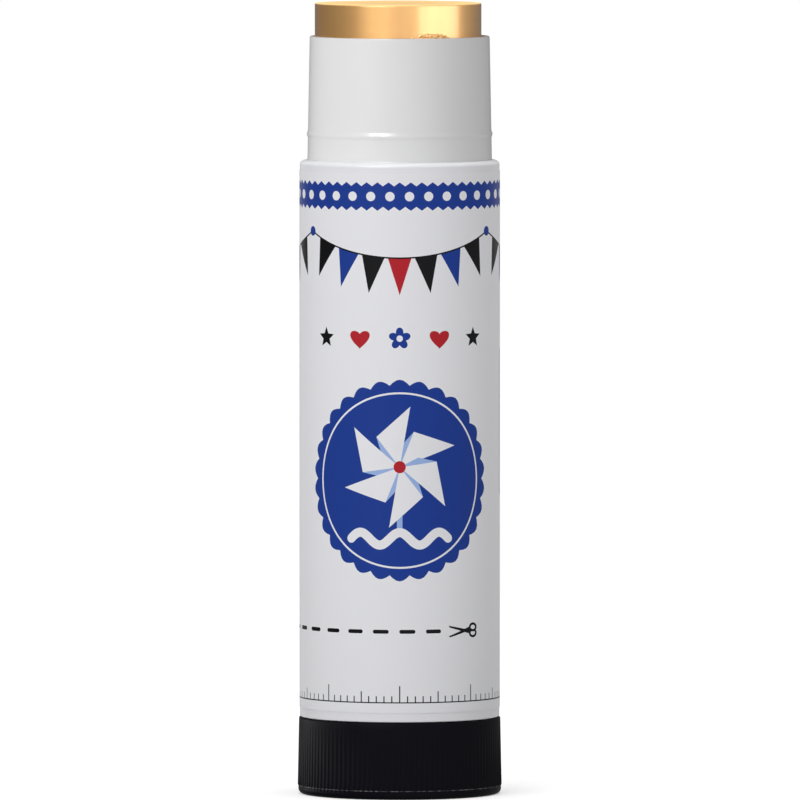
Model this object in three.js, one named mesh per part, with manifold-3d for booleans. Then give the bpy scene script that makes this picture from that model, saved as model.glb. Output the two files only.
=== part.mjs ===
// A twist-up glue stick, standing on its knob with its cap off and the glue wound a little way out.
// Millimetres, +Z up the axis, origin on the table under the middle of the knob. The front faces -Y.
//
// Turning the knob turns the spindle. The carriage can't turn, because guide ribs in the inner sleeve
// run in its notches, so it climbs the spindle's thread and pushes the glue out of the neck.
import * as THREE from 'three';
import { mergeVertices } from 'three/addons/utils/BufferGeometryUtils.js';
import Module from 'manifold-3d';

const wasm = await Module();
wasm.setup();

// How finely round things are cut. Each rib of the knob takes two columns of its lathe.
const FACETS = 72;
const THREAD_STEPS = 16;
const ARC_STEPS = 4;
const FOOT_STEPS = 3;

// Inner sleeve, whose top is the neck that the cap slides over
const boreRadius = 10.9;
const sleeveWall = 0.84;
const neckHeight = 15.74;
const neckTaper = 0.29;
const rimRound = 0.3;
const beadRise = 3.3;
const beadHeight = 0.8;
const beadProud = 0.14;
const lipHeight = 1.6;
const lipReach = 2.3;

// Guide ribs down the bore of the inner sleeve
const guideCount = 4;
const guideWidth = 1.2;
const guideHeight = 0.4;

// White body over the inner sleeve, and the ring that it snaps on to
const bodyLength = 70.95;
const bodyWall = 0.88;
const bodyBevel = 0.15;
const shoulderRise = 0.57;
const catchRise = 6;
const catchHeight = 1;
const catchProud = 0.2;

// Film label wrapped round the body, with its ends a seam apart at the back
const labelThickness = 0.06;
const labelTopMargin = 0.8;
const labelFootMargin = 1.2;
const labelSeam = 0.6;

// Knob
const knobHeight = 9.76;
const knobProud = 0.045;
const knobDraft = 0.085;
const knobWall = 1.2;
const knobFloor = 1.4;
const knobRecess = 0.5;
const knobTopRound = 0.12;
const footRound = 0.65;
const footBand = 0.42;
const footRing = 2.1;
const ribCount = 120;
const ribHeight = 0.11;
const ribChamfer = 0.12;
const socketWall = 1.9;
const socketDrop = 1.3;
const webCount = 6;
const webThickness = 1;

// Spindle
const plugSides = 6;
const plugRadius = 6;
const flangeThickness = 1.3;
const snapReach = 0.6;
const snapHeight = 0.9;
const snapTaper = 0.7;
const threadLead = 5;
const threadCore = 2.3;
const threadDepth = 0.8;
const threadRoot = 2.2;
const threadCrest = 1.4;
const threadRunIn = 2.3;
const tipTaper = 0.6;

// Carriage
const nutLength = 8.3;
const nutWall = 1.65;
const floorThickness = 1.2;
const cupWall = 1;
const cupDepth = 5;
const skirtDepth = 4;

// Glue: how far it stands out here, how far it winds back, and what covers the spindle then
const glueShown = 4.2;
const glueRetract = 10;
const glueCover = 4.5;
const glueEdge = 0.15;

// Clearances. The glue leans to the left, until this gap is left there.
const knobGap = 0.1;
const endPlay = 0.2;
const sleeveFit = 0.08;
const hubClearance = 0.3;
const driveClearance = 0.2;
const threadClearance = 0.25;
const carriageClearance = 0.2;
const guideClearance = 0.3;
const glueClearance = 0.3;
const leanGap = 0.1;
const castGap = 0.1;
const parkGap = 1.3;

// How far a cutter, or the buried end of a joined shape, runs past the face that it meets
const past = 0.5;

// Radii that follow
const sleeveRadius = boreRadius + sleeveWall;
const neckRadius = sleeveRadius - neckTaper;
const bodyBore = sleeveRadius + sleeveFit;
const bodyRadius = bodyBore + bodyWall;
const labelRadius = bodyRadius + labelThickness;
const knobRadius = labelRadius + knobProud;
const knobBore = knobRadius - knobWall;
const lipRadius = boreRadius - lipReach;
const hubRadius = lipRadius - hubClearance;
const threadRadius = threadCore + threadDepth;
const guideTip = boreRadius - guideHeight;
const carriageRadius = boreRadius - carriageClearance;
const cupRadius = carriageRadius - cupWall;
const glueRadius = boreRadius - glueClearance;

// Heights on the barrel, from its lower end
const barrelStart = knobHeight + knobGap;
const shoulderFoot = bodyLength - shoulderRise;
const neckTop = bodyLength + neckHeight;
const guideTop = neckTop + glueShown - glueRetract - glueCover;

// Heights on the spindle, from the end of the plug that stands on the knob's floor
const spindleStart = knobRecess + knobFloor;
const flangeTop = barrelStart - endPlay - spindleStart;
const flangeBottom = flangeTop - flangeThickness;
const snapBottom = flangeTop + endPlay + lipHeight + endPlay;
const snapTop = snapBottom + snapHeight + snapTaper;
const spindleLength = barrelStart + guideTop - spindleStart;

// Heights on what climbs, from the glue's underside
const liftStart = spindleStart + snapTop + parkGap + glueRetract + nutLength + floorThickness;
const nutBottom = -floorThickness - nutLength;
const glueLength = barrelStart + neckTop + glueShown - liftStart;

// The guide ribs stand between the front and the sides.
const firstGuide = Math.PI / 4;

// A lathed ring or plug. Points are [radius, height], anticlockwise round the section.
function revolve(points, facets = FACETS) {
  const outline = points.map(([radius, height]) => new THREE.Vector2(radius, height));
  const startsOnAxis = points[0][0] === 0;
  if (!startsOnAxis) outline.push(outline[0].clone());
  return new THREE.LatheGeometry(outline, facets).rotateX(Math.PI / 2);
}

// Points of a quarter turn, anticlockwise from an angle, with its own reach across and up.
function quarterTurn(radius, height, across, up, from, steps = ARC_STEPS) {
  return Array.from({ length: steps + 1 }, (_, i) => {
    const angle = from + (i / steps) * (Math.PI / 2);
    return [radius + across * Math.cos(angle), height + up * Math.sin(angle)];
  });
}

function rod(radius, bottom, top, sides = FACETS) {
  return new THREE.CylinderGeometry(radius, radius, top - bottom, sides)
    .rotateX(Math.PI / 2)
    .translate(0, 0, (bottom + top) / 2);
}

// A block that reaches from one radius to another at an angle round the axis
function radialBlock(inner, outer, width, bottom, top, angle) {
  return new THREE.BoxGeometry(outer - inner, width, top - bottom)
    .translate((inner + outer) / 2, 0, (bottom + top) / 2)
    .rotateZ(angle);
}

function around(count, make) {
  return Array.from({ length: count }, (_, i) => make((i / count) * 2 * Math.PI));
}

// The ridge of the left-hand thread, as a closed solid. Every thread here is a stretch of one helix
// through the start of the spindle, so spindle and nut are in mesh.
function threadRidge(grow, bottom, top) {
  const section = [
    [threadCore - past, -threadRoot / 2 - grow],
    [threadRadius + grow, -threadCrest / 2 - grow],
    [threadRadius + grow, threadCrest / 2 + grow],
    [threadCore - past, threadRoot / 2 + grow],
  ];
  const sides = section.length;
  const first = Math.round((bottom / threadLead) * THREAD_STEPS);
  const last = Math.round((top / threadLead) * THREAD_STEPS);
  const positions = [];
  for (let step = first; step <= last; step++) {
    const turns = step / THREAD_STEPS;
    const angle = -2 * Math.PI * turns;
    for (const [radius, rise] of section) {
      positions.push(radius * Math.cos(angle), radius * Math.sin(angle), turns * threadLead + rise);
    }
  }
  const index = [];
  const quad = (a, b, c, d) => index.push(a, b, c, a, c, d);
  for (let step = 0; step < last - first; step++) {
    for (let side = 0; side < sides; side++) {
      const here = step * sides + side;
      const next = step * sides + ((side + 1) % sides);
      quad(here, next, next + sides, here + sides);
    }
  }
  const end = (last - first) * sides;
  quad(0, 3, 2, 1);
  quad(end, end + 1, end + 2, end + 3);
  const ridge = new THREE.BufferGeometry();
  ridge.setAttribute('position', new THREE.Float32BufferAttribute(positions, 3));
  ridge.setIndex(index);
  return ridge;
}

function toSolid(geometry) {
  const bare = geometry.clone();
  bare.deleteAttribute('normal');
  bare.deleteAttribute('uv');
  const merged = mergeVertices(bare);
  return new wasm.Manifold(
    new wasm.Mesh({
      numProp: 3,
      vertProperties: merged.attributes.position.array,
      triVerts: new Uint32Array(merged.index.array),
    }),
  );
}

// Joins the first list of geometries, and cuts the second list out of them.
function build(joined, removed = []) {
  const whole = joined.map(toSolid).reduce((solid, next) => solid.add(next));
  const done = removed.map(toSolid).reduce((solid, next) => solid.subtract(next), whole);
  const { vertProperties, triVerts } = done.getMesh();
  const shared = new THREE.BufferGeometry();
  shared.setAttribute('position', new THREE.BufferAttribute(vertProperties, 3));
  shared.setIndex(new THREE.BufferAttribute(triVerts, 1));
  const faceted = shared.toNonIndexed();
  faceted.computeVertexNormals();
  return faceted;
}

// What a piece that slides in the bore must be cut by to clear the guide ribs
function guideNotches(bottom, top) {
  const width = guideWidth + 2 * guideClearance;
  return around(guideCount, (angle) =>
    radialBlock(guideTip - guideClearance, bodyRadius, width, bottom, top, firstGuide + angle),
  );
}

function innerSleeve() {
  const rim = Math.min(rimRound, (neckRadius - boreRadius) / 2);
  const beadMiddle = bodyLength + beadRise;
  const bead = [-1, -0.5, 0, 0.5, 1].map((t) => {
    const height = beadMiddle + (t * beadHeight) / 2;
    const taper = (neckTaper * (height - bodyLength)) / neckHeight;
    return [sleeveRadius - taper + beadProud * (1 - t * t), height];
  });
  const tube = revolve([
    [lipRadius, 0],
    [sleeveRadius, 0],
    [sleeveRadius, catchRise - catchHeight / 2],
    [sleeveRadius + catchProud, catchRise],
    [sleeveRadius, catchRise + catchHeight / 2],
    [sleeveRadius, bodyLength],
    ...bead,
    ...quarterTurn(neckRadius - rim, neckTop - rim, rim, rim, 0),
    [boreRadius, neckTop],
    [boreRadius, lipHeight],
    [lipRadius, lipHeight],
  ]);
  const guides = around(guideCount, (angle) =>
    radialBlock(
      guideTip, boreRadius + sleeveWall / 2, guideWidth, lipHeight / 2, guideTop, firstGuide + angle,
    ),
  );
  return build([tube, ...guides]);
}

function body() {
  const room = catchHeight / 2 + sleeveFit;
  return revolve([
    [bodyBore, 0],
    [bodyRadius - bodyBevel, 0],
    [bodyRadius, bodyBevel],
    ...quarterTurn(bodyBore, shoulderFoot, bodyWall, shoulderRise, 0),
    [bodyBore, catchRise + room],
    [bodyBore + catchProud, catchRise],
    [bodyBore, catchRise - room],
  ]);
}

function label() {
  const top = shoulderFoot - labelTopMargin;
  const film = revolve([
    [bodyRadius, labelFootMargin],
    [labelRadius, labelFootMargin],
    [labelRadius, top],
    [bodyRadius, top],
  ]);
  const seam = radialBlock(bodyBore, knobRadius, labelSeam, 0, bodyLength, Math.PI / 2);
  return build([film], [seam]);
}

function knob() {
  const footRadius = knobRadius + knobDraft;
  const bandTop = footRound + footBand;
  const below = [
    [0, 0],
    ...quarterTurn(
      footRadius - footRound, footRound, footRound, footRound, -Math.PI / 2, FOOT_STEPS,
    ),
    [footRadius, bandTop],
  ];
  const above = [
    [footRadius, bandTop + ribChamfer],
    [knobRadius, knobHeight - knobTopRound],
    [knobRadius - knobTopRound, knobHeight],
    [0, knobHeight],
  ];
  const outside = revolve([...below, ...above], 2 * ribCount);

  // Every other column stands out where the ribs start. They run out to nothing at the top.
  const rows = below.length + above.length;
  const swell = (footRadius + ribHeight) / footRadius;
  const position = outside.attributes.position;
  for (let column = 0; column <= 2 * ribCount; column += 2) {
    const i = column * rows + below.length;
    position.setXY(i, position.getX(i) * swell, position.getY(i) * swell);
  }

  const flange = spindleStart + flangeBottom;
  const socketRadius = plugRadius + driveClearance;
  const socket = rod(socketRadius + socketWall, knobRecess, flange - socketDrop);
  const webs = around(webCount, (angle) =>
    radialBlock(
      socketRadius + socketWall / 2, knobBore + knobWall / 2, webThickness,
      spindleStart - knobFloor / 2, flange, angle,
    ),
  );
  const shell = build(
    [outside],
    [
      rod(knobBore, spindleStart, knobHeight + past),
      rod(footRadius - footRound - footRing, -past, knobRecess),
    ],
  );
  return build([shell, socket, ...webs], [rod(socketRadius, spindleStart, knobHeight, plugSides)]);
}

function spindle() {
  const flangeRadius = knobBore - driveClearance;
  const snapRadius = hubRadius + snapReach;
  const hub = revolve([
    [0, flangeBottom],
    [flangeRadius, flangeBottom],
    [flangeRadius, flangeTop],
    [hubRadius, flangeTop],
    [hubRadius, snapBottom],
    [snapRadius, snapBottom],
    [snapRadius, snapBottom + snapHeight],
    [hubRadius, snapTop],
    [0, snapTop],
  ]);
  const core = revolve(
    [
      [0, flangeTop],
      [threadCore, flangeTop],
      [threadCore, spindleLength - tipTaper],
      [threadCore - tipTaper, spindleLength],
      [0, spindleLength],
    ],
    THREAD_STEPS,
  );
  const ridge = threadRidge(0, snapTop + threadRunIn, spindleLength - tipTaper - threadRoot / 2);
  return build([rod(plugRadius, 0, flangeTop, plugSides), hub, core, ridge]);
}

function carriage() {
  const nutRadius = threadRadius + nutWall;
  const skirtBottom = -floorThickness - skirtDepth;
  const cup = revolve([
    [0, nutBottom],
    [nutRadius, nutBottom],
    [nutRadius, -floorThickness],
    [cupRadius, -floorThickness],
    [cupRadius, skirtBottom],
    [carriageRadius, skirtBottom],
    [carriageRadius, cupDepth],
    [cupRadius, cupDepth],
    [cupRadius, 0],
    [0, 0],
  ]);
  const bore = rod(threadCore + threadClearance, nutBottom - past, past, THREAD_STEPS);
  const spindleBelow = liftStart - spindleStart;
  const groove = threadRidge(
    threadClearance, spindleBelow + nutBottom - threadLead, spindleBelow + threadLead,
  ).translate(0, 0, -spindleBelow);
  return build([cup], [bore, groove, ...guideNotches(skirtBottom - past, cupDepth + past)]);
}

function glue() {
  const stick = revolve([
    [0, cupDepth],
    [glueRadius, cupDepth],
    [glueRadius, glueLength - glueEdge],
    [glueRadius - glueEdge, glueLength],
    [0, glueLength],
  ]).translate(leanGap - glueClearance, 0, 0);
  const base = rod(cupRadius - castGap, 0, cupDepth + past);
  // The glue was cast round the spindle and the guide ribs with the carriage at its lowest.
  const castTop = barrelStart + guideTop - liftStart + glueRetract + castGap;
  const screwHole = rod(threadRadius + threadClearance, -past, castTop, THREAD_STEPS);
  return build([stick, base], [screwHole, ...guideNotches(-past, castTop)]);
}

function piece(name, geometry, color, roughness) {
  const look = new THREE.MeshStandardMaterial({ color, roughness, metalness: 0 });
  const mesh = new THREE.Mesh(geometry, look);
  mesh.name = name;
  return mesh;
}

// What the hand holds still
const barrel = new THREE.Group();
barrel.position.z = barrelStart;
barrel.add(piece('inner_sleeve', innerSleeve(), 0xd9d9d9, 0.45));
barrel.add(piece('body', body(), 0xdcdce1, 0.35));
barrel.add(piece('label', label(), 0xe4e4ea, 0.4));

// What the hand turns
const drive = new THREE.Group();
drive.add(piece('knob', knob(), 0x1d1c21, 0.5));
const screw = piece('spindle', spindle(), 0xe8e8e6, 0.5);
screw.position.z = spindleStart;
drive.add(screw);

// What climbs, one lead for each turn
const lift = new THREE.Group();
lift.position.z = liftStart;
lift.add(piece('carriage', carriage(), 0xe8e8e6, 0.5));
lift.add(piece('glue', glue(), 0xe5a550, 0.4));

const glueStick = new THREE.Group();
glueStick.name = 'glue_stick';
glueStick.add(barrel, drive, lift);

export default glueStick;
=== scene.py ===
"""Builds the looks of a twist-up glue stick round its packed frame, and a small photo studio for it.

Every piece is made in metres where the frame says, with the stick upright on Z and its front facing -Y.
"""

import math
from typing import NamedTuple

import bmesh
import bpy
from bpy.props import FloatProperty, FloatVectorProperty, IntProperty, PointerProperty
from mathutils import Matrix, Vector, noise
from mathutils.geometry import delaunay_2d_cdt


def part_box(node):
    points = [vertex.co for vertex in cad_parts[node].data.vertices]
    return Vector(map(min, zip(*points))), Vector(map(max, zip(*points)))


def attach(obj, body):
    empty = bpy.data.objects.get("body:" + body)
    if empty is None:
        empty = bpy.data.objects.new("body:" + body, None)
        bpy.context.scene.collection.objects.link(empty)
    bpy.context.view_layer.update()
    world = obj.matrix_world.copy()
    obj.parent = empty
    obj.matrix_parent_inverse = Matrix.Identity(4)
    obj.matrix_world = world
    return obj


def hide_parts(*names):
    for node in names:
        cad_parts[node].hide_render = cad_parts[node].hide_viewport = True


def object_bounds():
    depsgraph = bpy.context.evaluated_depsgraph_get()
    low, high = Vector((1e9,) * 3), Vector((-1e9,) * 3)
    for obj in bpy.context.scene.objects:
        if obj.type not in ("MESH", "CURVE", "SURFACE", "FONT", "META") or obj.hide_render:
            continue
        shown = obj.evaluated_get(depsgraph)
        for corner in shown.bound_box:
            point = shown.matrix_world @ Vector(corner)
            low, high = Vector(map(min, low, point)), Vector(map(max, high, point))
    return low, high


bl_info = {
    "name": "Glue Stick Builder",
    "version": (1, 0, 0),
    "blender": (4, 5, 0),
    "location": "View3D > Sidebar > Glue Stick",
    "description": "Builds a twist-up glue stick with a printed label, and a photo studio round it",
    "category": "Add Mesh",
}

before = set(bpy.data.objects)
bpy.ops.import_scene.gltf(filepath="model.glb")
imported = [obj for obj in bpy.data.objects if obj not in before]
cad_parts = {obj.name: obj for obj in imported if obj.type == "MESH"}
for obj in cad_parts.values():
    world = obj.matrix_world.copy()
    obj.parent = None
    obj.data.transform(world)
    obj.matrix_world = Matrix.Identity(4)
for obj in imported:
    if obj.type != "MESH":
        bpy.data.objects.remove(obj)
cad_low, cad_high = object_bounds()

MM = 0.001
QUARTER = math.pi / 2
TURN = 2 * math.pi


def reach(node):
    """Half the width of a frame node, which is its radius where it is round."""
    low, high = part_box(node)
    return (high.x - low.x) / 2


def foot(node):
    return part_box(node)[0].z


def top(node):
    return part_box(node)[1].z


def srgb(red, green, blue):
    """A linear colour from the 0 to 255 values that a picture shows."""
    def linear(value):
        part = value / 255
        return part / 12.92 if part <= 0.04045 else ((part + 0.055) / 1.055) ** 2.4
    return linear(red), linear(green), linear(blue)


def count(name, description, default):
    return IntProperty(name=name, description=description, default=default)


def number(name, description, default):
    return FloatProperty(name=name, description=description, default=default)


def length(name, description, mm):
    """A length, whose default is given in millimetres."""
    return FloatProperty(name=name, description=description, default=mm * MM, unit="LENGTH", precision=5)


def angle(name, description, degrees):
    return FloatProperty(
        name=name, description=description, default=math.radians(degrees), unit="ROTATION"
    )


def colour(name, description, default):
    return FloatVectorProperty(
        name=name, description=description, default=default, subtype="COLOR", min=0, max=1
    )


class BarrelSizes(bpy.types.PropertyGroup):
    """Sizes of the white body and of the inner sleeve, whose top is the neck."""

    columns: count("Columns", "Faces round each wall", 180)
    bore_radius: length("Bore", "Radius of the bore that the glue slides in", 10.9)
    sleeve_wall: length("Sleeve wall", "Thickness of the inner sleeve", 0.84)
    sleeve_fit: length("Sleeve fit", "Gap between the sleeve and the body", 0.08)
    neck_taper: length("Neck taper", "How much the neck narrows to its rim", 0.29)
    rim_round: length("Rim round", "Radius of the neck's outer rim", 0.18)
    bead_rise: length("Bead rise", "Height of the snap bead above the shoulder", 3.3)
    bead_height: length("Bead height", "Height of the snap bead", 1.1)
    bead_proud: length("Bead proud", "How far the snap bead stands out", 0.14)
    flare_height: length("Flare height", "Height of the small flare at the neck's foot", 0.18)
    lip_height: length("Lip height", "Thickness of the lip at the sleeve's foot", 1.6)
    lip_reach: length("Lip reach", "How far the lip reaches inwards", 2.3)
    shoulder_rise: length("Shoulder rise", "Height of the rounded shoulder", 0.57)
    shoulder_flat: length("Shoulder flat", "Height of the edge that the shoulder leaves", 0.05)
    foot_bevel: length("Foot bevel", "Bevel at the foot of the body", 0.15)


class GuideSizes(bpy.types.PropertyGroup):
    """Sizes of the ribs in the bore that keep the glue from turning."""

    ribs: count("Ribs", "Number of guide ribs", 4)
    first: angle("First rib", "Where the first rib stands, from +X", 45)
    width: length("Width", "Width of a guide rib", 1.2)
    height: length("Height", "How far a guide rib stands in", 0.4)
    top: length("Top", "Height of the ribs' tops", top("spindle") / MM)
    clearance: length("Clearance", "Gap between a rib and its groove", 0.3)


class LabelSizes(bpy.types.PropertyGroup):
    """Sizes of the printed film and its pattern. Places along it are measured from the front."""

    columns: count("Columns", "Faces round the film", 180)
    seam: length("Seam", "Gap between the film's ends at the back", 0.6)
    badge_radius: length("Badge radius", "Radius of the round blue badge", 12.8)
    badge_height: length("Badge height", "Height of the badge's middle", 40.6)
    scallop_depth: length("Scallop depth", "Depth of the scallops at the badge's edge", 0.7)
    ring_inset: length("Ring inset", "How far the badge's fine ring lies inside its edge", 1.6)
    ring_width: length("Ring width", "Width of the badge's fine ring", 0.24)
    wheel_radius: length("Wheel radius", "Radius of the paper windmill", 7.8)
    wheel_rise: length("Wheel rise", "Height of the windmill above the badge's middle", 1.7)
    stick_width: length("Stick width", "Width of the windmill's stick", 0.7)
    line_drop: length("Line drop", "How far the line of glue is below the badge's middle", 7.4)
    line_reach: length("Line reach", "How far the line of glue runs to each side", 6.4)
    line_width: length("Line width", "Width of the line of glue", 1.15)
    line_wave: length("Line wave", "How far the line of glue swings up and down", 0.8)
    bunting_top: length("Bunting top", "Height of the bunting's highest points", 72)
    bunting_sag: length("Bunting sag", "How far each swag hangs down", 3.2)
    string_width: length("String width", "Thickness of the bunting's string", 0.2)
    pin_radius: length("Pin radius", "Radius of the pins that hold the bunting", 0.62)
    flag_width: length("Flag width", "Width of a flag", 3)
    flag_length: length("Flag length", "Length of a flag", 4.7)
    charm_height: length("Charm height", "Height of the row of charms", 58.6)
    charm_radius: length("Charm radius", "Radius of a charm", 1.35)
    charm_pitch: length("Charm pitch", "Distance from charm to charm", 5.2)
    cut_height: length("Cut height", "Height of the cutting line", 21.4)
    cut_start: length("Cut start", "Where the scissors are, right of the front", 9)
    dash_width: length("Dash width", "Thickness of the cutting line", 0.5)
    dash_pitch: length("Dash pitch", "Distance from dash to dash", 3.4)
    tape_height: length("Tape height", "Height of the middle of the blue tape", 76.6)
    tape_width: length("Tape width", "Width of the blue tape", 3.6)
    tooth_depth: length("Tooth depth", "Depth of the tape's pinked edges", 0.5)
    spot_radius: length("Spot radius", "Radius of the tape's spots", 0.6)
    ruler_height: length("Ruler height", "Height of the ruler's line", 12.3)
    ruler_line: length("Ruler line", "Thickness of the ruler's line and ticks", 0.15)
    field_foot: length("Field foot", "Height of the foot of the field for a name", 38)
    field_top: length("Field top", "Height of the top of the field for a name", 57)
    field_width: length("Field width", "Width of the field for a name", 16.4)


class KnobSizes(bpy.types.PropertyGroup):
    """Sizes of the turning knob."""

    columns: count("Columns", "Faces round the socket inside", 120)
    ribs: count("Ribs", "Number of grip ribs", 120)
    rib_height: length("Rib height", "How far a rib stands out at its foot", 0.085)
    valley_depth: length("Valley depth", "How far the valleys lie in behind the foot band", 0.02)
    rib_chamfer: length("Rib chamfer", "Height of the chamfer at a rib's foot", 0.08)
    draft: length("Draft", "How much wider the foot is than the top", 0.085)
    wall: length("Wall", "Thickness of the skirt", 1.2)
    floor: length("Floor", "Thickness of the floor", 1.4)
    recess: length("Recess", "Depth of the recess underneath", 0.5)
    gate_radius: length("Gate radius", "Radius of the dimple that the mould's gate left", 1.6)
    gate_depth: length("Gate depth", "Depth of that dimple", 0.15)
    gate_slope: length("Gate slope", "Width of the slope at that dimple's edge", 0.2)
    foot_round: length("Foot round", "Radius at the foot", 0.65)
    foot_band: length("Foot band", "Height of the plain band under the ribs", 0.42)
    foot_ring: length("Foot ring", "Width of the ring that the stick stands on", 2.1)
    top_round: length("Top round", "Radius at the top edge", 0.12)
    socket_radius: length("Socket radius", "Half the hexagonal socket's width over its corners", 6.2)
    socket_wall: length("Socket wall", "Thickness of the socket's wall", 1.9)
    socket_top: length("Socket top", "Height of the socket's top", 7.06)
    webs: count("Webs", "Number of webs between socket and skirt", 6)
    web_top: length("Web top", "Height of the webs' tops", 8.36)
    web_thickness: length("Web thickness", "Thickness of a web", 1)


class GlueSizes(bpy.types.PropertyGroup):
    """Sizes of the stick of glue."""

    columns: count("Columns", "Faces round the stick", 480)
    edge: length("Edge", "Radius of the top edge", 0.15)
    dish: length("Dish", "How far the middle of the top sank as it dried", 0.03)
    base_radius: length("Base radius", "Radius of the end cast in the carriage's cup", 9.6)
    base_length: length("Base length", "Length of the end cast in the cup", 5)
    hole_radius: length("Hole radius", "Radius of the hole round the spindle", 3.35)
    cast_gap: length("Cast gap", "Glue's gap above what it was cast round", 0.1)
    wound_out: length("Wound out", "How far the glue has come up", 10)
    smear_middle: angle("Smear middle", "Where the scraped-up glue lies, right of the front", 23)
    smear_spread: angle("Smear spread", "How far it runs to each side", 14)
    smear_height: length("Smear height", "How high it stands above the rim", 0.62)
    smear_proud: length("Smear proud", "How far it stands out", 0.2)


class Finish(bpy.types.PropertyGroup):
    """Colours of the plastics, the inks and the glue."""

    shell: colour("Shell", "White body", srgb(228, 228, 232))
    film: colour("Film", "Unprinted film", srgb(229, 229, 233))
    sleeve: colour("Sleeve", "Natural plastic of the inner sleeve", srgb(225, 225, 225))
    works: colour("Works", "Spindle and carriage", srgb(232, 232, 230))
    grip: colour("Grip", "Black knob", srgb(9, 8, 16))
    # A painted highlight: the pale line under the knob's ribs stands in for the light their ledge
    # catches.
    painted_highlight: colour("Flash", "Line of flash under the knob's ribs", srgb(110, 110, 114))
    blue: colour("Blue ink", "Badge, tape and flags", srgb(27, 58, 142))
    sky: colour("Pale blue ink", "Stick and folds of the windmills", srgb(150, 176, 222))
    black: colour("Black ink", "Flags, stars, ruler and cutting line", srgb(15, 15, 18))
    red: colour("Red ink", "Flags, hearts and the windmills' pins", srgb(176, 34, 44))
    grey: colour("Grey ink", "Writing lines", srgb(128, 130, 136))
    glue: colour("Glue", "Amber glue", srgb(255, 199, 117))
    glue_deep: colour("Deep glue", "Denser streaks of the glue", srgb(240, 174, 95))
    glue_pale: colour("Pale glue", "Dry top of the glue and what was scraped up", srgb(255, 220, 158))


class Studio(bpy.types.PropertyGroup):
    """The camera, the light from all round, the lamps' strength and the floor."""

    camera_distance: length("Camera distance", "From the stick's axis to the camera", 2300)
    camera_height: length("Camera height", "Height of the camera above the table", 170)
    picture_height: length("Picture height", "Height that the picture takes in at the axis", 101.89)
    aim_height: length("Aim height", "Height of the picture's middle at the axis", 50.16)
    aim_side: length("Aim side", "How far right of the axis the picture's middle is", 0.04)
    ambient: number("Ambient", "Strength of the light from all round", 0.535)
    gloss_bright: number("Bright gloss", "Brightest light for gloss", 1)
    gloss_dim: number("Dim gloss", "Dimmest light for gloss", 0.15)
    gloss_side: angle("Gloss side", "Where the room is brightest for gloss, right of the camera", 25)
    lamps: number("Lamps", "Share of their power that all the lamps give", 1)
    floor_radius: length("Floor radius", "Radius of the round floor", 400)
    floor_grey: number("Floor grey", "Tone of the floor", 0.6)
    floor_lift: number("Floor lift", "Light added to the floor for the camera alone", 0.45)
    card_grey: number("Card grey", "Tone round the stick that the camera doesn't see", 0.38)
    card_radius: length("Card radius", "Where that tone has gone over to the floor's", 120)


class Lamp(NamedTuple):
    """A soft box aimed at the stick. Azimuth 0 is the camera's side and 90 the right, in degrees.

    The sizes and the distance are in metres and the power is in watts. It lights only the listed
    pieces or never lights them, and one kind of ray can be told to miss it.
    """

    name: str
    azimuth: float
    elevation: float
    distance: float
    width: float
    height: float
    power: float
    linking: str
    pieces: tuple
    missed_by: str = ""


ONLY = "INCLUDE"
NEVER = "EXCLUDE"
NECK = ("neck_sleeve",)
WALL = ("label_film", "barrel_shell")
# Name, azimuth, elevation, distance, width, height, power, linking, its pieces and what misses it
LAMPS = (
    Lamp("key_lamp", -31, 28, 0.75, 0.55, 0.55, 2.3, NEVER, NECK),
    Lamp("top_lamp", 0, 90, 1.2, 0.5, 0.5, 7, NEVER, NECK),
    Lamp("low_lamp", -103, 4, 1.2, 1.8, 0.6, 5.2, ONLY, ("turning_knob",)),
    Lamp("left_lamp", -46, 20, 1.2, 0.8, 0.8, 7.7, ONLY, NECK, "glossy"),
    Lamp("right_lamp", 146, 8, 1.2, 0.7, 0.8, 0.8, ONLY, WALL),
    Lamp("back_lamp", 180, 24, 1.2, 0.8, 0.8, 3.6, NEVER, ("floor", "glue_core"), "glossy"),
    Lamp("glint_lamp", -27, 34, 1.2, 0.42, 0.18, 11, ONLY, ("neck_sleeve", "barrel_shell"), "diffuse"),
    Lamp("strip_lamp", 60, 4, 0.9, 1.1, 0.16, 1.3, ONLY, ("glue_core",), "diffuse"),
    Lamp("edge_lamp", -152, 4, 1.2, 0.5, 0.9, 0.85, ONLY, WALL, "diffuse"),
)


class Term:
    """An output socket of a node tree, on which Python's operators add Math nodes."""

    def __init__(self, graph, socket):
        self.graph = graph
        self.socket = socket

    def math(self, operation, first, second=0.0):
        return self.graph.add("ShaderNodeMath", {"operation": operation}, {0: first, 1: second})

    def __add__(self, other):
        return self.math("ADD", self, other)

    __radd__ = __add__

    def __sub__(self, other):
        return self.math("SUBTRACT", self, other)

    def __rsub__(self, other):
        return self.math("SUBTRACT", other, self)

    def __mul__(self, other):
        return self.math("MULTIPLY", self, other)

    __rmul__ = __mul__

    def __truediv__(self, other):
        return self.math("DIVIDE", self, other)

    def __abs__(self):
        return self.math("ABSOLUTE", self)


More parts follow.
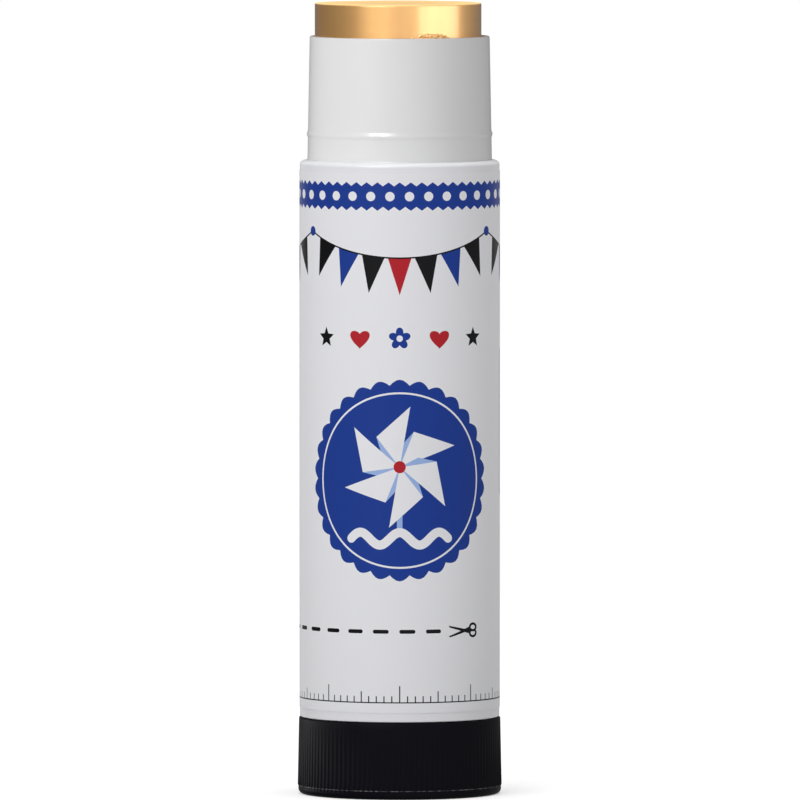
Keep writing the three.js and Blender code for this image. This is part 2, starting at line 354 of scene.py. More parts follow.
class Graph:
    """Adds nodes to one node tree and links them."""

    def __init__(self, tree):
        self.tree = tree

    def add(self, kind, settings=None, inputs=None, output=0):
        """Adds one node. Settings go on it first, then each input gets its value or its link."""
        node = self.tree.nodes.new(kind)
        for name, value in (settings or {}).items():
            setattr(node, name, value)
        for name, value in (inputs or {}).items():
            if isinstance(value, Term):
                self.tree.links.new(value.socket, node.inputs[name])
            else:
                node.inputs[name].default_value = value
        return Term(self, node.outputs[output]) if node.outputs else None

    def vector(self, operation, first, second=(0, 0, 0), output="Vector"):
        return self.add("ShaderNodeVectorMath", {"operation": operation}, {0: first, 1: second}, output)

    def spot(self):
        """The place on the piece that is shaded, in the piece's own coordinates."""
        return self.add("ShaderNodeTexCoord", output="Object")

    def height(self):
        return self.add("ShaderNodeSeparateXYZ", None, {0: self.spot()}, output="Z")

    def grain(self, size, stretch=1, detail=2.0):
        """Noise with blobs of a size in metres, stretched along Z."""
        scaled = self.vector("MULTIPLY", self.spot(), (1, 1, 1 / stretch))
        inputs = {"Vector": scaled, "Scale": 1 / size, "Detail": detail}
        return self.add("ShaderNodeTexNoise", None, inputs)

    def uneven(self, value, swing, size):
        """A value that noise in blobs of a size moves by up to half a swing either way."""
        return value + (self.grain(size) - 0.5) * swing

    def clamp(self, value):
        return self.add("ShaderNodeClamp", None, {"Value": value})

    def mix(self, factor, first, second):
        """Mixes two colours, each a colour or a Term."""
        first, second = [c if isinstance(c, Term) else (*c, 1) for c in (first, second)]
        inputs = {0: factor, 6: first, 7: second}
        return self.add("ShaderNodeMix", {"data_type": "RGBA"}, inputs, output=2)

    def choose(self, ray, others, seen):
        """Shows one shader to a kind of ray, such as "Is Camera Ray", and another to the rest."""
        factor = self.add("ShaderNodeLightPath", output=ray)
        return self.add("ShaderNodeMixShader", None, {0: factor, 1: others, 2: seen})

    def bump(self, height, distance, **under):
        return self.add("ShaderNodeBump", None, {"Height": height, "Distance": distance, **under})


def fresh_graph(owner):
    """The emptied nodes of a material or a world."""
    owner.use_nodes = True
    owner.node_tree.nodes.clear()
    return Graph(owner.node_tree)


def new_material(name, tint, sockets, vary):
    """A Principled material. The sockets stay even, and vary(graph) gives those that change over it."""
    material = bpy.data.materials.new(name)
    graph = fresh_graph(material)
    inputs = {"Base Color": (*tint, 1), **sockets, **vary(graph)}
    shader = graph.add("ShaderNodeBsdfPrincipled", None, inputs)
    graph.add("ShaderNodeOutputMaterial", None, {"Surface": shader})
    material.diffuse_color = (*tint, 1)
    return material


# Sizes of the blobs in a moulded skin: of its tone, of its ripple and of its gloss
CLOUD = 6 * MM
RIPPLE = 2.6 * MM
PORE = 1.1 * MM


def moulded(name, tint, sockets, roughness, ripple_depth):
    """Moulded plastic: faint clouds in its colour, uneven gloss, and the soft ripple of its skin."""
    darker = [0.98 * value for value in tint]
    swing = 0.05

    def vary(graph):
        return {
            "Base Color": graph.mix(graph.grain(CLOUD), darker, tint),
            "Roughness": graph.uneven(roughness, swing, PORE),
            "Normal": graph.bump(graph.grain(RIPPLE), ripple_depth),
        }
    return new_material(name, tint, sockets, vary)


def grip(name, tint, painted_highlight, sizes):
    """Black moulded plastic, with a paler, broken line painted under the ribs: a painted highlight
    standing in for the light that the ledge there catches.
    """
    chamfer = sizes.rib_chamfer
    middle = sizes.foot_round + sizes.foot_band + chamfer / 2
    overlap, faintest = 1.6, 0.2
    speck, gaps, sharpness = 0.5 * MM, 0.46, 7
    roughness, band_gloss, swing = 0.42, 0.14, 0.06
    ripple_depth = 0.008 * MM

    def vary(graph):
        height = graph.height()
        # Painted highlight: a paler, broken band of colour where the ledge under the ribs would catch
        # the light
        line = graph.clamp(overlap - abs(height - middle) / (chamfer / 2))
        broken = graph.clamp((graph.grain(speck) - gaps) * sharpness)
        band = graph.clamp((middle - height) / chamfer)
        return {
            "Base Color": graph.mix(line * (broken * (1 - faintest) + faintest), tint, painted_highlight),
            "Roughness": graph.uneven(roughness - band * band_gloss, swing, PORE),
            "Normal": graph.bump(graph.grain(RIPPLE), ripple_depth),
        }
    return new_material(name, tint, {"Specular IOR Level": 0.06}, vary)


def printed(name, tint, gloss):
    """Ink or bare film on the label: an even colour under a satin skin that is never quite flat."""
    roughness, swing, pore = 0.4, 0.08, 0.9 * MM
    wave, wave_depth = 3.4 * MM, 0.006 * MM
    speck, speck_depth = 0.12 * MM, 0.0004 * MM

    def vary(graph):
        skin = graph.bump(graph.grain(wave, 2), wave_depth)
        return {
            "Roughness": graph.uneven(roughness, swing, pore),
            "Normal": graph.bump(graph.grain(speck), speck_depth, Normal=skin),
        }
    return new_material(name, tint, {"Specular IOR Level": gloss}, vary)


def amber(name, finish, lean, radius, height, edge):
    """Waxy glue: cloudy amber, glossy where the bore smoothed it, dull on top and where scraped."""
    sockets = {
        "Subsurface Weight": 0.2, "Subsurface Scale": 1.5 * MM, "Subsurface Radius": (1.0, 0.55, 0.2),
        "Specular IOR Level": 0.2, "Coat Roughness": 0.2, "Coat IOR": 1.9,
    }
    cloud, streak, gloss, wave = 3.2 * MM, 0.9 * MM, 1.4 * MM, 2.4 * MM
    dulled_by = 0.6 * MM
    streak_share, dry_clouds = 0.4, 0.8
    metallic, coat = 0.8, 0.9
    dull, polish, swing = 0.75, 0.47, 0.06
    wave_depth, flattened = 0.03 * MM, 0.8

    def vary(graph):
        across = graph.vector("SUBTRACT", graph.spot(), (lean, 0, 0))
        out = graph.vector("LENGTH", graph.vector("MULTIPLY", across, (1, 1, 0)), output="Value")
        below_top = graph.clamp((height - graph.height()) / edge)
        smooth = below_top * graph.clamp(1 - (out - radius) / dulled_by)
        clouds = graph.grain(cloud, 1.5, 3.0)
        mottled = clouds * (1 - streak_share) + graph.grain(streak, 9) * streak_share
        side = graph.mix(mottled, finish.glue_deep, finish.glue)
        dry = graph.mix(clouds * dry_clouds, finish.glue_pale, finish.glue)
        return {
            "Base Color": graph.mix(smooth, dry, side),
            "Metallic": smooth * metallic,
            "Coat Weight": smooth * coat,
            "Roughness": dull - smooth * (polish - graph.grain(gloss, 4) * swing),
            "Normal": graph.bump(graph.grain(wave, 3) * (1 - smooth * flattened), wave_depth),
        }
    return new_material(name, finish.glue, sockets, vary)


def polar(radius, turn):
    """Where a point at a radius and an angle lies."""
    return radius * math.cos(turn), radius * math.sin(turn)


def arc(radius, height, across, up, start, steps):
    """Points of a quarter turn, anticlockwise from an angle, with its own reach across and up."""
    angles = [start + QUARTER * i / steps for i in range(steps + 1)]
    return [(radius + across * math.cos(a), height + up * math.sin(a)) for a in angles]


def circle(radius, height, columns, middle=0.0):
    """A ring of points, or the one point on the axis. A radius may be a function of the angle."""
    if radius == 0:
        return [Vector((0, 0, height))]
    points = []
    for column in range(columns):
        turn = TURN * column / columns
        x, y = polar(radius(turn) if callable(radius) else radius, turn)
        points.append(Vector((middle + x, y, height)))
    return points


def loft(name, rings):
    """A closed mesh through rings of points, between two poles or from its last ring to its first."""
    corners = []
    numbered = []
    for ring in rings:
        numbered.append(range(len(corners), len(corners) + len(ring)))
        corners.extend(ring)
    columns = max(len(ring) for ring in rings)
    pairs = list(zip(numbered, numbered[1:]))
    if len(rings[0]) > 1:
        pairs.append((numbered[-1], numbered[0]))
    faces = []
    for low, high in pairs:
        for column in range(columns):
            after = (column + 1) % columns
            corner = [low[column % len(low)], low[after % len(low)]]
            corner += [high[after % len(high)], high[column % len(high)]]
            faces.append(list(dict.fromkeys(corner)))
    mesh = bpy.data.meshes.new(name)
    mesh.from_pydata(corners, [], faces)
    return mesh


def lathe(name, outline, columns):
    """A closed round piece from (radius, height) points, anticlockwise round its section."""
    return loft(name, [circle(radius, height, columns) for radius, height in outline])


def new_object(name, data):
    item = bpy.data.objects.new(name, data)
    bpy.context.scene.collection.objects.link(item)
    return item


def plain_mesh(item):
    """Turns an object's modifiers into a plain mesh and takes them off it."""
    graph = bpy.context.evaluated_depsgraph_get()
    done = bpy.data.meshes.new_from_object(
        item.evaluated_get(graph), preserve_all_data_layers=True, depsgraph=graph
    )
    item.modifiers.clear()
    item.data = done


def place(name, mesh, materials, crease=35):
    """Links a mesh as an object, smooth but for its creases, which are in degrees."""
    mesh.validate()
    mesh.shade_smooth()
    mesh.set_sharp_from_angle(angle=math.radians(crease))
    for material in materials:
        mesh.materials.append(material)
    item = new_object(name, mesh)
    weighted = item.modifiers.new("Even shading", "WEIGHTED_NORMAL")
    weighted.keep_sharp = True
    plain_mesh(item)
    return item


def settle(item, body, slot, *nodes):
    """Lets a finished piece ride on its body in place of the frame's nodes."""
    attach(item, body)
    if nodes:
        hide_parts(*nodes)


def near_guide(turn, guide, half_width, radius):
    """Whether an angle lies within half a width of one of the guide ribs."""
    step = TURN / guide.ribs
    away = (turn - guide.first + step / 2) % step - step / 2
    return abs(away) * radius < half_width


class GLUESTICK_OT_barrel(bpy.types.Operator):
    """Make the white body and the inner sleeve with its neck"""

    bl_idname = "glue_stick.barrel"
    bl_label = "Build barrel"

    def execute(self, context):
        sizes = context.scene.glue_stick_barrel
        finish = context.scene.glue_stick_finish
        self.build_body(sizes, finish)
        self.build_sleeve(sizes, context.scene.glue_stick_guides, finish)
        return {"FINISHED"}

    def build_body(self, sizes, finish):
        radius = reach("body")
        bore = sizes.bore_radius + sizes.sleeve_wall + sizes.sleeve_fit
        low = foot("body")
        bevel = sizes.foot_bevel
        shoulder = top("body") - sizes.shoulder_rise
        flat = sizes.shoulder_flat
        outline = [
            (bore, low),
            *arc(radius - bevel, low + bevel, bevel, bevel, -QUARTER, steps=4),
            *arc(bore + flat, shoulder, radius - bore - flat, sizes.shoulder_rise, 0, steps=14),
            (bore, top("body") - flat),
        ]
        gloss = {"Specular IOR Level": 0.3, "Coat Weight": 0.15, "Coat Roughness": 0.15}
        skin = moulded("white_shell", finish.shell, gloss, roughness=0.36, ripple_depth=0.01 * MM)
        shell = place("barrel_shell", lathe("barrel_shell", outline, sizes.columns), [skin])
        settle(shell, "barrel", "white_plastic", "body")

    def build_sleeve(self, sizes, guide, finish):
        outer = sizes.bore_radius + sizes.sleeve_wall
        low = foot("inner_sleeve")
        rim = top("inner_sleeve")
        shoulder = top("body")
        slope = sizes.neck_taper / (rim - shoulder)
        flare_out = 0.9 * sizes.sleeve_fit

        def outside(height):
            """Radius of the neck with its snap bead at a height."""
            across = (height - shoulder - sizes.bead_rise) / (sizes.bead_height / 2)
            bead = sizes.bead_proud * (1 + math.cos(math.pi * across)) / 2 if abs(across) < 1 else 0
            up = (height - shoulder) / sizes.flare_height
            flare = flare_out * (1 - up) ** 2 if 0 <= up < 1 else 0
            return outer - slope * max(0, height - shoulder) + bead + flare

        bead_steps, flare_steps = 14, 3
        bead_foot = shoulder + sizes.bead_rise - sizes.bead_height / 2
        bead = [bead_foot + sizes.bead_height * i / bead_steps for i in range(bead_steps + 1)]
        flare = [shoulder + sizes.flare_height * i / flare_steps for i in range(flare_steps + 1)]
        walls = [low, shoulder - sizes.flare_height, *flare, *bead, rim - 2 * sizes.rim_round]
        edge = sizes.rim_round
        inner_edge = edge / 4
        bore = sizes.bore_radius
        lip = outer - sizes.lip_reach - sizes.sleeve_wall

        def ribbed(turn):
            return bore - guide.height if near_guide(turn, guide, guide.width / 2, bore) else bore

        outline = [
            (lip, low),
            *[(outside(height), height) for height in walls],
            *arc(outside(rim) - edge, rim - edge, edge, edge, 0, steps=6),
            *arc(bore + inner_edge, rim - inner_edge, inner_edge, inner_edge, QUARTER, steps=3),
            (bore, guide.top),
            (ribbed, guide.top),
            (ribbed, low + sizes.lip_height),
            (lip, low + sizes.lip_height),
        ]
        gloss = {"Coat Weight": 0.3, "Coat Roughness": 0.08}
        skin = moulded("natural_sleeve", finish.sleeve, gloss, roughness=0.3, ripple_depth=0.012 * MM)
        sleeve = place("neck_sleeve", lathe("neck_sleeve", outline, sizes.columns), [skin])
        settle(sleeve, "barrel", "natural_plastic", "inner_sleeve")


def ellipse(along, height, across, up, steps=28):
    angles = [TURN * i / steps for i in range(steps)]
    return [(along + across * math.cos(a), height + up * math.sin(a)) for a in angles]


def rounded(left, low, right, high, radius, steps=7):
    """A rectangle with round corners."""
    corners = [
        (right - radius, high - radius, 0), (left + radius, high - radius, QUARTER),
        (left + radius, low + radius, 2 * QUARTER), (right - radius, low + radius, 3 * QUARTER),
    ]
    return [point for x, z, start in corners for point in arc(x, z, radius, radius, start, steps)]


def stroke(points, width):
    """The outline of a line of a width along some points."""
    left, right = [], []
    for i, point in enumerate(points):
        before = Vector(points[max(i - 1, 0)])
        after = Vector(points[min(i + 1, len(points) - 1)])
        side = (after - before).normalized().orthogonal() * width / 2
        left.append(tuple(Vector(point) + side))
        right.append(tuple(Vector(point) - side))
    return right + left[::-1]


def turned(points, radians, along, height):
    """Flat points turned about their origin and moved to a place on the label."""
    spin = Matrix.Rotation(radians, 2)
    return [tuple(spin @ Vector(point) + Vector((along, height))) for point in points]


class Artwork:
    """The label's pattern: inks and closed outlines in the order of printing."""

    def __init__(self, sizes, radius):
        self.sizes = sizes
        self.half = math.pi * radius - sizes.seam / 2
        self.shapes = []
        self.block("film", -self.half, foot("label"), self.half, top("label"))

    def ink(self, name, outline):
        """Prints an outline, cut off at the film's ends."""
        half = self.half
        self.shapes.append((name, [(max(-half, min(half, along)), height) for along, height in outline]))

    def block(self, name, left, low, right, high):
        self.ink(name, [(left, low), (right, low), (right, high), (left, high)])

    def dot(self, name, along, height, radius):
        self.ink(name, ellipse(along, height, radius, radius, steps=20))

    def windmill(self, along, height, radius, blade, fold):
        """A folded-paper windmill on a pin: each blade lies on the fold of the next."""
        blades = 6
        step = TURN / blades
        hub, tip = (0, 0), (radius, 0)
        bend = polar(0.62 * radius, 0.8 * step)
        heel = polar(0.34 * radius, 1.12 * step)
        for i in range(blades):
            spin = step * i + step / 3
            self.ink(fold, turned([hub, bend, heel], spin, along, height))
            self.ink(blade, turned([hub, tip, bend], spin, along, height))
        pin = 0.1 * radius
        self.ink("red", ellipse(along, height, pin, pin))

    def badge(self):
        """The round blue badge with scallops and a ring, a windmill on its stick and a line of glue."""
        s = self.sizes
        scallops, steps = 30, 6
        edge = []
        for i in range(scallops * steps):
            turn = TURN * i / (scallops * steps)
            out = s.badge_radius - s.scallop_depth * (1 - abs(math.sin(scallops * turn / 2)))
            across, up = polar(out, turn)
            edge.append((across, s.badge_height + up))
        self.ink("blue", edge)
        for ink, inset in (("film", s.ring_inset), ("blue", s.ring_inset + s.ring_width)):
            radius = s.badge_radius - inset
            self.ink(ink, ellipse(0, s.badge_height, radius, radius, steps=96))
        line_height = s.badge_height - s.line_drop
        wheel_height = s.badge_height + s.wheel_rise
        stick = s.stick_width / 2
        stick_foot = line_height + s.line_wave - stick
        self.ink("sky", rounded(-stick, stick_foot, stick, wheel_height, stick / 2))
        steps, waves = 60, 2.5
        line = []
        for i in range(steps + 1):
            t = i / steps
            swing = s.line_wave * math.sin(TURN * waves * t)
            line.append((s.line_reach * (2 * t - 1), line_height + swing))
        self.ink("film", stroke(line, s.line_width))
        for end in (line[0], line[-1]):
            self.dot("film", *end, s.line_width / 2)
        self.windmill(0, wheel_height, s.wheel_radius, "film", "sky")

    def bunting(self):
        """Swags of small flags on pins, right round the label under the tape."""
        s = self.sizes
        swags, steps = 3, 24
        span = 2 * self.half / swags
        hung = 0.9 * span
        tints = ("black", "blue", "black", "red", "black", "blue", "black")
        cloth = [(-s.flag_width / 2, 0), (0, -s.flag_length), (s.flag_width / 2, 0)]

        def string_height(along):
            return s.bunting_top - s.bunting_sag * (1 - (2 * along / span) ** 2)

        def string_slope(along):
            return math.atan(8 * s.bunting_sag * along / span ** 2)

        for swag in range(swags):
            middle = span * (swag - (swags - 1) / 2)
            for i, tint in enumerate(tints):
                along = hung * ((i + 0.5) / len(tints) - 0.5)
                at = (middle + along, string_height(along))
                self.ink(tint, turned(cloth, string_slope(along), *at))
            places = [span * (i / steps - 0.5) for i in range(steps + 1)]
            string = [(middle + along, string_height(along)) for along in places]
            self.ink("black", stroke(string, s.string_width))
        for swag in range(1, swags):
            self.dot("blue", span * (swag - swags / 2), s.bunting_top, s.pin_radius)

    def charms(self):
        """A row of two stars, two hearts and a flower."""
        s = self.sizes
        size = s.charm_radius
        points, petals, steps = 5, 5, 60
        star_waist, petal_waist, petal_rise, eye = 0.45 * size, 0.6 * size, 0.45 * size, 0.3 * size
        star = []
        for i in range(2 * points):
            star.append(polar((size, star_waist)[i % 2], QUARTER + TURN * i / (2 * points)))
        heart, flower = [], []
        for i in range(steps):
            turn = TURN * i / steps
            # The height of the well-known heart curve, without its weakest wave
            lobes = 13 * math.cos(turn) - 5 * math.cos(2 * turn) - 2 * math.cos(3 * turn)
            heart.append((-size * math.sin(turn) ** 3, size * lobes / 16))
            petal = petal_rise * abs(math.sin(petals * (turn + QUARTER) / 2))
            flower.append(polar(petal_waist + petal, turn))
        row = (("black", star), ("red", heart), ("blue", flower), ("red", heart), ("black", star))
        for i, (tint, outline) in enumerate(row):
            self.ink(tint, turned(outline, 0, s.charm_pitch * (i - 2), s.charm_height))
        self.dot("film", 0, s.charm_height, eye)

    def cutting_line(self):
        """A dashed line that a small pair of open scissors cuts along, from the right."""
        s = self.sizes
        scissors_reach, end_margin = 3.6 * MM, 2 * MM
        first = s.cut_start - scissors_reach
        thick = s.dash_width / 2
        low, high, corner = s.cut_height - thick, s.cut_height + thick, 0.9 * thick
        for i in range(int((first + self.half - end_margin) / s.dash_pitch)):
            right = first - i * s.dash_pitch
            left = right - 0.6 * s.dash_pitch
            self.ink("black", rounded(left, low, right, high, corner, steps=3))
        blade = [(-1 * MM, -0.26 * MM), (2.6 * MM, 0), (2.4 * MM, 0.2 * MM), (-1 * MM, 0.22 * MM)]
        ring_middle = (-1.45 * MM, 0)
        opening = math.radians(15)
        for side in (-1, 1):
            spin = math.pi + side * opening
            self.ink("black", turned(blade, spin, s.cut_start, s.cut_height))
            ring = turned([ring_middle], spin, s.cut_start, s.cut_height)[0]
            self.ink("black", ellipse(*ring, 0.72 * MM, 0.58 * MM, steps=20))
            self.ink("film", ellipse(*ring, 0.4 * MM, 0.28 * MM, steps=16))

    def tape(self):
        """A strip of blue tape with pinked edges and pale spots, right round the label."""
        s = self.sizes
        teeth, spots = 56, 32
        outline = []
        for side in (-1, 1):
            for i in range(2 * teeth + 1):
                height = s.tape_height + side * (s.tape_width / 2 - s.tooth_depth * (i % 2))
                outline.append((side * self.half * (1 - i / teeth), height))
        self.ink("blue", outline)
        for i in range(spots):
            self.dot("film", self.half * ((2 * i + 1) / spots - 1), s.tape_height, s.spot_radius)

    def ruler(self):
        """A ruled line with a tick each millimetre, right round the foot of the label."""
        low, line = self.sizes.ruler_height, self.sizes.ruler_line
        tall, middling, short = 2.2 * MM, 1.5 * MM, 0.9 * MM
        self.block("black", -self.half, low, self.half, low + line)
        last = int(self.half / MM)
        for tick in range(-last, last + 1):
            rise = tall if tick % 10 == 0 else middling if tick % 5 == 0 else short
            left = tick * MM - line / 2
            self.block("black", left, low, left + line, low + rise)

    def back(self):
        """A field with lines to write a name on at one side of the back, a windmill at the other."""
        s = self.sizes
        side = 2 * self.half / 3
        left, right = side - s.field_width / 2, side + s.field_width / 2
        low, high = s.field_foot, s.field_top
        border, corner, inner_corner = 0.35 * MM, 1.6 * MM, 1.3 * MM
        self.ink("blue", rounded(left, low, right, high, corner))
        inner = (left + border, low + border, right - border, high - border)
        self.ink("film", rounded(*inner, inner_corner))
        rows, foot_rows, spare_rows = 3, 0.8, 0.6
        margin, line, line_corner = 2 * MM, 0.18 * MM, 0.08 * MM
        for row in range(rows):
            height = low + (high - low) * (row + foot_rows) / (rows + spare_rows)
            ends = (left + margin, height, right - margin, height + line)
            self.ink("grey", rounded(*ends, line_corner, steps=2))
        self.windmill(-side, (low + high) / 2, 0.8 * s.wheel_radius, "blue", "sky")


class GLUESTICK_OT_label(bpy.types.Operator):
    """Print the label, with every shape cut into its mesh, and wrap it round the body"""

    bl_idname = "glue_stick.label"
    bl_label = "Print label"

    def execute(self, context):
        sizes = context.scene.glue_stick_label
        finish = context.scene.glue_stick_finish
        radius = reach("label")
        art = Artwork(sizes, radius)
        art.tape()
        art.bunting()
        art.charms()
        art.badge()
        art.cutting_line()
        art.ruler()
        art.back()
        inks = ["film", "blue", "sky", "black", "red", "grey"]
        film_gloss, ink_gloss = 0.3, 0.12
        mesh = self.cut(art, inks, sizes.columns)
        self.wrap(mesh, radius)
        for name in inks:
            gloss = film_gloss if name == "film" else ink_gloss
            mesh.materials.append(printed("ink_" + name, getattr(finish, name), gloss))
        item = new_object("label_film", mesh)
        film = item.modifiers.new("Thickness", "SOLIDIFY")
        gap = 0.002 * MM
        film.thickness = radius - reach("body") - gap
        film.offset = -1
        plain_mesh(item)
        self.shade(item.data)
        settle(item, "barrel", "label_film", "label")
        return {"FINISHED"}

    def cut(self, art, inks, columns):
        """The flat pattern as triangles, each in the last ink that was printed on it."""
        points = []
        regions = []
        for _, outline in art.shapes:
            regions.append(list(range(len(points), len(points) + len(outline))))
            points.extend(Vector((along / MM, height / MM)) for along, height in outline)
        low, high = foot("label") / MM, top("label") / MM
        folds = []
        for column in range(1, columns):
            along = art.half * (2 * column / columns - 1) / MM
            folds.append((len(points), len(points) + 1))
            points += [Vector((along, low)), Vector((along, high))]
        as_triangles, weld = 0, 1e-6
        flat, _, faces, _, _, prints = delaunay_2d_cdt(points, folds, regions, as_triangles, weld, True)
        mesh = bpy.data.meshes.new("label_film")
        mesh.from_pydata([(point.x * MM, 0, point.y * MM) for point in flat], [], faces)
        for polygon, printed_over in zip(mesh.polygons, prints):
            polygon.material_index = inks.index(art.shapes[max(printed_over)][0])
        return mesh

    def wrap(self, mesh, radius):
        """Rolls the flat mesh round Z, with its middle to the front."""
        for vertex in mesh.vertices:
            along = vertex.co.x / radius
            vertex.co = (radius * math.sin(along), -radius * math.cos(along), vertex.co.z)

    def shade(self, mesh):
        """Turns the film's shading normals straight out from the axis, but for its thin edges."""
        mesh.shade_smooth()
        normals = []
        for polygon in mesh.polygons:
            for corner in polygon.loop_indices:
                out = mesh.vertices[mesh.loops[corner].vertex_index].co.copy()
                out.z = 0
                out.normalize()
                facing = polygon.normal.dot(out)
                on_edge = abs(facing) < 0.5
                normals.append(polygon.normal if on_edge else out * math.copysign(1, facing))
        mesh.normals_split_custom_set(normals)


class GLUESTICK_OT_knob(bpy.types.Operator):
    """Make the ribbed knob from one rib's sector, and the socket inside it"""

    bl_idname = "glue_stick.knob"
    bl_label = "Build knob"

    def execute(self, context):
        sizes = context.scene.glue_stick_knob
        finish = context.scene.glue_stick_finish
        skin = grip("black_grip", finish.grip, finish.painted_highlight, sizes)
        item = new_object("turning_knob", self.sector(sizes))
        self.repeat(item, sizes.ribs, skin)
        mesh = item.data
        bpy.data.objects.remove(item)
        knob = place("turning_knob", mesh, [], crease=42)
        settle(knob, "drive", "black_plastic", "knob")
        self.build_socket(sizes, skin)
        return {"FINISHED"}

    def outside(self, sizes):
        """Rows up the knob's outside, each with its radius, height and how far the rib stands out."""
        crest = reach("knob")
        foot_radius = crest - sizes.rib_height
        top_radius = foot_radius - sizes.draft
        foot_round, top_round = sizes.foot_round, sizes.top_round
        band_top = foot_round + sizes.foot_band
        valley = foot_radius - sizes.valley_depth
        rib_foot = band_top + sizes.rib_chamfer
        rib_top = top("knob") - top_round
        below = arc(foot_radius - foot_round, foot_round, foot_round, foot_round, -QUARTER, steps=6)
        rows = [(radius, height, 0) for radius, height in [*below, (foot_radius, band_top)]]
        steps = 10
        for i in range(steps + 1):
            t = i / steps
            radius = valley + (top_radius - valley) * t
            rows.append((radius, rib_foot + (rib_top - rib_foot) * t, (crest - valley) * (1 - t)))
        above = arc(top_radius - top_round, rib_top, top_round, top_round, 0, steps=3)[1:]
        return rows + [(radius, height, 0) for radius, height in above]

    def inside(self, sizes):
        """Points down the knob's inside and out under its floor."""
        foot_radius = reach("knob") - sizes.rib_height
        bore = foot_radius - sizes.draft - sizes.wall
        ring_inner = foot_radius - sizes.foot_round - sizes.foot_ring
        floor_top = sizes.recess + sizes.floor
        gate_top = sizes.recess + sizes.gate_depth
        return [
            (bore, top("knob")), (bore, floor_top), (0, floor_top), (0, gate_top),
            (sizes.gate_radius, gate_top), (sizes.gate_radius + sizes.gate_slope, sizes.recess),
            (ring_inner, sizes.recess), (ring_inner, 0),
        ]

    def sector(self, sizes):
        """The slice of the knob under one rib: fine columns outside, one column inside."""
        pitch = TURN / sizes.ribs
        flank, steepness, steps = 0.31, 1.2, 4
        ends = (-0.5, 0.5)
        offsets = [ends[0], *[flank * i / steps for i in range(-steps, steps + 1)], ends[1]]
        build = bmesh.new()

        def bulge(offset):
            return math.cos(QUARTER * offset / flank) ** steepness if abs(offset) < flank else 0

        def ring(radius, height, rib, columns):
            if radius == 0:
                return [build.verts.new((0, 0, height))]
            points = [polar(radius + rib * bulge(offset), offset * pitch) for offset in columns]
            return [build.verts.new((x, y, height)) for x, y in points]

        outer = [ring(radius, height, rib, offsets) for radius, height, rib in self.outside(sizes)]
        for low, up in zip(outer, outer[1:]):
            for i in range(len(offsets) - 1):
                build.faces.new((low[i], low[i + 1], up[i + 1], up[i]))
        inner = [ring(radius, height, 0, ends) for radius, height in self.inside(sizes)]
        for low, up in zip(inner, inner[1:]):
            if len(low) + len(up) > 2:
                build.faces.new(dict.fromkeys((low[0], low[-1], up[-1], up[0])))
        build.faces.new([*outer[-1], inner[0][1], inner[0][0]])
        build.faces.new([inner[-1][0], inner[-1][1], *reversed(outer[0])])
        mesh = bpy.data.meshes.new("knob_sector")
        build.to_mesh(mesh)
        build.free()
        return mesh

    def repeat(self, item, ribs, skin):
        """Repeats an object's mesh round Z with Geometry Nodes, welds it and gives it its material."""
        tree = bpy.data.node_groups.new("Repeat round axis", "GeometryNodeTree")
        sockets = {
            "Sector": "NodeSocketGeometry", "Copies": "NodeSocketInt",
            "Weld distance": "NodeSocketFloat", "Material": "NodeSocketMaterial",
        }
        for name, kind in sockets.items():
            tree.interface.new_socket(name, in_out="INPUT", socket_type=kind)
        tree.interface.new_socket("Knob", in_out="OUTPUT", socket_type="NodeSocketGeometry")
        graph = Graph(tree)
        given = {name: graph.add("NodeGroupInput", output=name) for name in sockets}
        spin = graph.add("GeometryNodeInputIndex") * TURN / given["Copies"]
        turn = graph.add("ShaderNodeCombineXYZ", None, {"Z": spin})
        spots = graph.add("GeometryNodePoints", None, {"Count": given["Copies"]})
        copies = graph.add(
            "GeometryNodeInstanceOnPoints", None,
            {"Points": spots, "Instance": given["Sector"], "Rotation": turn},
        )
        real = graph.add("GeometryNodeRealizeInstances", None, {"Geometry": copies})
        welded = graph.add(
            "GeometryNodeMergeByDistance", None, {"Geometry": real, "Distance": given["Weld distance"]}
        )
        covered = graph.add(
            "GeometryNodeSetMaterial", None, {"Geometry": welded, "Material": given["Material"]}
        )
        graph.add("NodeGroupOutput", None, {"Knob": covered})
        modifier = item.modifiers.new("Ribs", "NODES")
        modifier.node_group = tree
        weld = 0.002 * MM
        values = {"Copies": ribs, "Weld distance": weld, "Material": skin}
        for socket in tree.interface.items_tree:
            if socket.name in values:
                modifier[socket.identifier] = values[socket.name]
        plain_mesh(item)

    def build_socket(self, sizes, skin):
        """The hexagonal socket that drives the spindle, with the webs that hold it in the skirt."""
        outer = sizes.socket_radius + sizes.socket_wall
        low = sizes.recess + sizes.floor / 2
        floor_top = sizes.recess + sizes.floor
        high = sizes.socket_top
        corners = 6
        side = TURN / corners

        def hexagon(turn):
            return sizes.socket_radius * math.cos(side / 2) / math.cos(turn % side - side / 2)

        outline = [(outer, low), (outer, high), (hexagon, high), (hexagon, low)]
        mesh = lathe("knob_socket", outline, sizes.columns)
        build = bmesh.new()
        build.from_mesh(mesh)
        skirt = reach("knob") - sizes.rib_height - sizes.draft - sizes.wall
        web_inner, web_outer = outer - sizes.socket_wall / 2, skirt + sizes.wall / 2
        size = (web_outer - web_inner, sizes.web_thickness, sizes.web_top - floor_top)
        middle = ((web_inner + web_outer) / 2, 0, (sizes.web_top + floor_top) / 2)
        web = Matrix.Translation(middle) @ Matrix.Diagonal((*size, 1))
        for i in range(sizes.webs):
            spin = Matrix.Rotation(TURN * i / sizes.webs, 4, "Z")
            bmesh.ops.create_cube(build, size=1, matrix=spin @ web)
        build.to_mesh(mesh)
        build.free()
        settle(place("knob_socket", mesh, [skin]), "drive", "black_plastic")


